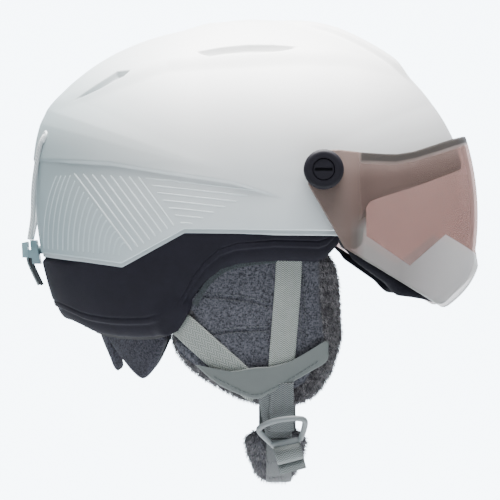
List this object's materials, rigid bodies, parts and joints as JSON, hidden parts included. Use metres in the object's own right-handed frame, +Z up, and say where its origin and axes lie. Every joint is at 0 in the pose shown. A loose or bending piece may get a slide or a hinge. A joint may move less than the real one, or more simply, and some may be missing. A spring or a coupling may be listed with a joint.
{
  "type": "ski helmet",
  "caption": "Child's ski helmet: white hard shell, flip-up tinted visor on two side pivots, felt ear pads, webbing chin loop with side-release buckle, goggle clip.",
  "frame": {"origin": "middle of the head cavity, level with the lower edge of the white shell, where the head form is held", "axes": "+X forward out of the visor, +Y to the wearer's left, +Z up"},
  "size_m": [0.2729, 0.223, 0.2773],
  "materials": {
    "shell_white": "satin",
    "shell_black": "matt",
    "liner_foam": "matt",
    "pad_fabric": "knitted",
    "felt": "felted",
    "webbing": "woven",
    "guard": "smooth",
    "lens_grey": "gloss",
    "lens_orange": "gloss",
    "soft_black": "foam",
    "knob_black": "satin",
    "plastic_grey": "satin",
    "clip_blue": "satin",
    "tab_rubber": "matt",
    "cord_elastic": "braided",
    "metal": "satin",
    "mesh_black": "matt"
  },
  "bodies": {
    "helmet": {"outer_shell": "shell_white", "lower_shell": "shell_black", "eps_liner": "liner_foam", "crown_pad": "pad_fabric", "brow_pad": "pad_fabric", "rear_pad": "pad_fabric", "side_pad_right": "pad_fabric", "side_pad_left": "pad_fabric", "strap_anchors": "knob_black", "vent_grilles": "mesh_black", "pivot_bushing_right": "metal", "pivot_bushing_left": "metal", "ear_pad_right": "felt", "ear_pad_left": "felt", "front_strap_right": "webbing", "front_strap_left": "webbing", "rear_strap_right": "webbing", "rear_strap_left": "webbing", "strap_sling_right": "guard", "strap_sling_left": "guard", "fit_band": "plastic_grey", "neck_pad_centre": "felt", "neck_pad_right": "felt", "neck_pad_left": "felt", "clip_stud": "clip_blue", "cord_grommets": "clip_blue"},
    "visor": {"visor_lens": "lens_grey", "visor_inner_lens": "lens_orange", "visor_face_foam": "soft_black", "visor_knob_right": "knob_black", "visor_knob_left": "knob_black"},
    "lock_right": {"visor_lock_right": "knob_black"},
    "lock_left": {"visor_lock_left": "knob_black"},
    "goggle_clip": {"goggle_cord": "cord_elastic", "goggle_hook": "clip_blue", "clip_tab": "tab_rubber"},
    "dial": {"fit_dial": "plastic_grey"},
    "chin_loop": {"chin_strap_right": "webbing", "chin_strap_left": "webbing", "buckle_strap": "webbing", "chin_pad": "felt", "strap_tail": "webbing", "strap_adjuster": "plastic_grey", "buckle_female": "plastic_grey"},
    "buckle_tongue": {"buckle_male": "plastic_grey"},
    "prong_front": {"buckle_prong_front": "plastic_grey"},
    "prong_rear": {"buckle_prong_rear": "plastic_grey"}
  },
  "joints": [
    {"name": "visor_flip", "type": "hinge", "parent": "helmet", "child": "visor", "pos_m": [0.0447, 0, 0.036], "axis": [0, -1, 0], "range_deg": [0, 45]},
    {"name": "visor_lock_right_turn", "type": "hinge", "parent": "visor", "child": "lock_right", "pos_m": [0.0447, -0.1, 0.036], "axis": [0, -1, 0], "range_deg": [0, 90]},
    {"name": "visor_lock_left_turn", "type": "hinge", "parent": "visor", "child": "lock_left", "pos_m": [0.0447, 0.1, 0.036], "axis": [0, 1, 0], "range_deg": [0, 90]},
    {"name": "goggle_clip_swing", "type": "hinge", "parent": "helmet", "child": "goggle_clip", "pos_m": [-0.12, 0, 0.06], "axis": [0, 1, 0], "range_deg": [0, 60]},
    {"name": "fit_dial_turn", "type": "hinge", "parent": "helmet", "child": "dial", "pos_m": [-0.0917, 0, -0.045], "axis": [1, 0, 0], "continuous": true},
    {"name": "chin_loop_swing", "type": "hinge", "parent": "helmet", "child": "chin_loop", "pos_m": [0.0195, 0, -0.104], "axis": [0, 1, 0], "range_deg": [-20, 20]},
    {"name": "buckle_release", "type": "slide", "parent": "chin_loop", "child": "buckle_tongue", "axis": [0, -0.6428, -0.766], "range_m": [0, 0.015]},
    {"name": "prong_front_press", "type": "slide", "parent": "buckle_tongue", "child": "prong_front", "axis": [-1, 0, 0], "range_m": [0, 0.0015], "stiffness_N_per_m": 300},
    {"name": "prong_rear_press", "type": "slide", "parent": "buckle_tongue", "child": "prong_rear", "axis": [1, 0, 0], "range_m": [0, 0.0015], "stiffness_N_per_m": 300}
  ]
}
